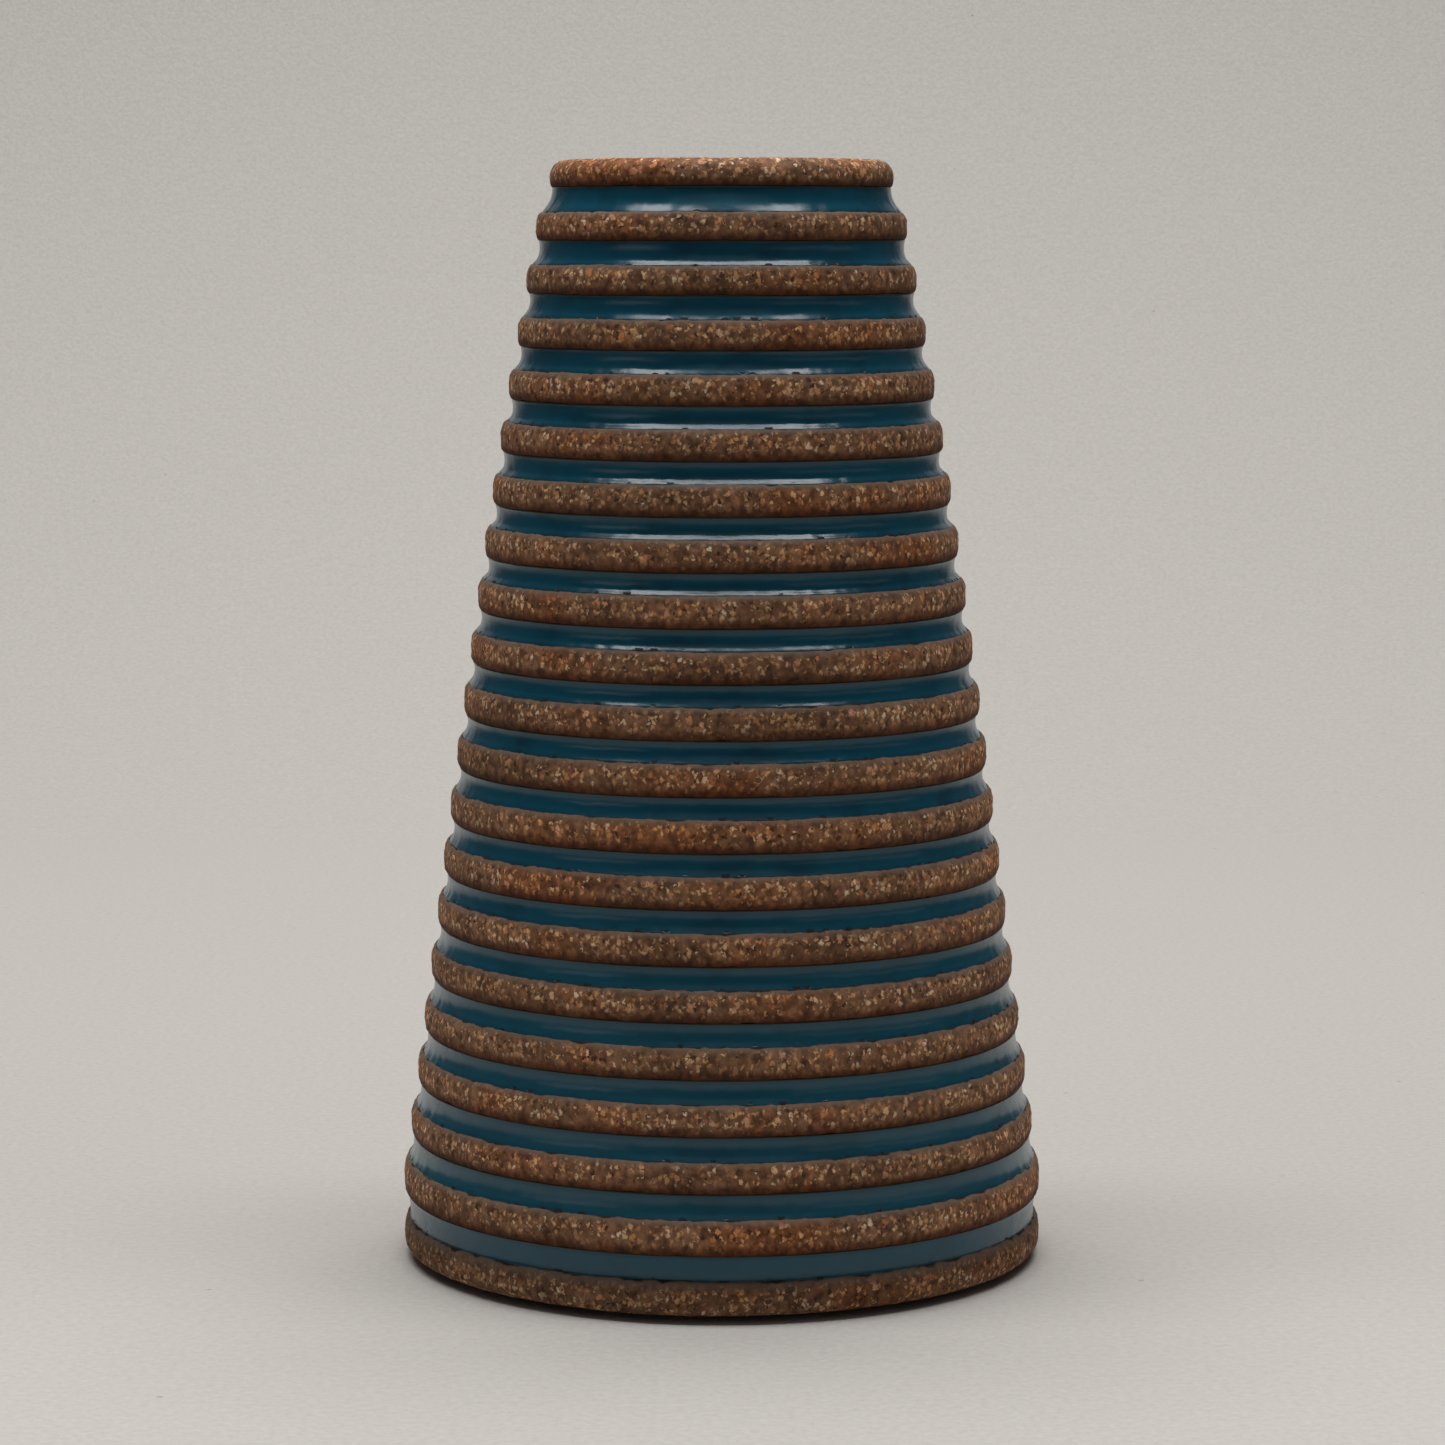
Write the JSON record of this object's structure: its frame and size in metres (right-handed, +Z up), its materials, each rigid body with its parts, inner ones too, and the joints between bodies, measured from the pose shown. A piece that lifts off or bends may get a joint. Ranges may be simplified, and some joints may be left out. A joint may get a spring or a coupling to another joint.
{
  "type": "bud vase",
  "caption": "Tapered ribbed stoneware bud vase: bare speckled clay ribs with glossy glaze in the grooves, glazed inside, flat foot.",
  "frame": {"origin": "centre of the foot, on the surface that the vase stands on", "axes": "+Z up along the vase's axis, from the foot to the rim"},
  "size_m": [0.088, 0.088, 0.15],
  "materials": {
    "bare_stoneware": "bare fired stoneware, matt, speckled with tan and dark grog",
    "teal_glaze": "glossy deep teal glaze, pooled in the grooves",
    "liner_glaze": "glossy deep teal glaze, poured as a lining"
  },
  "bodies": {
    "root": {"clay_body": "bare_stoneware", "liner_glaze": "liner_glaze", "glaze_band_01": "teal_glaze", "glaze_band_02": "teal_glaze", "glaze_band_03": "teal_glaze", "glaze_band_04": "teal_glaze", "glaze_band_05": "teal_glaze", "glaze_band_06": "teal_glaze", "glaze_band_07": "teal_glaze", "glaze_band_08": "teal_glaze", "glaze_band_09": "teal_glaze", "glaze_band_10": "teal_glaze", "glaze_band_11": "teal_glaze", "glaze_band_12": "teal_glaze", "glaze_band_13": "teal_glaze", "glaze_band_14": "teal_glaze", "glaze_band_15": "teal_glaze", "glaze_band_16": "teal_glaze", "glaze_band_17": "teal_glaze", "glaze_band_18": "teal_glaze", "glaze_band_19": "teal_glaze", "glaze_band_20": "teal_glaze"}
  },
  "joints": []
}
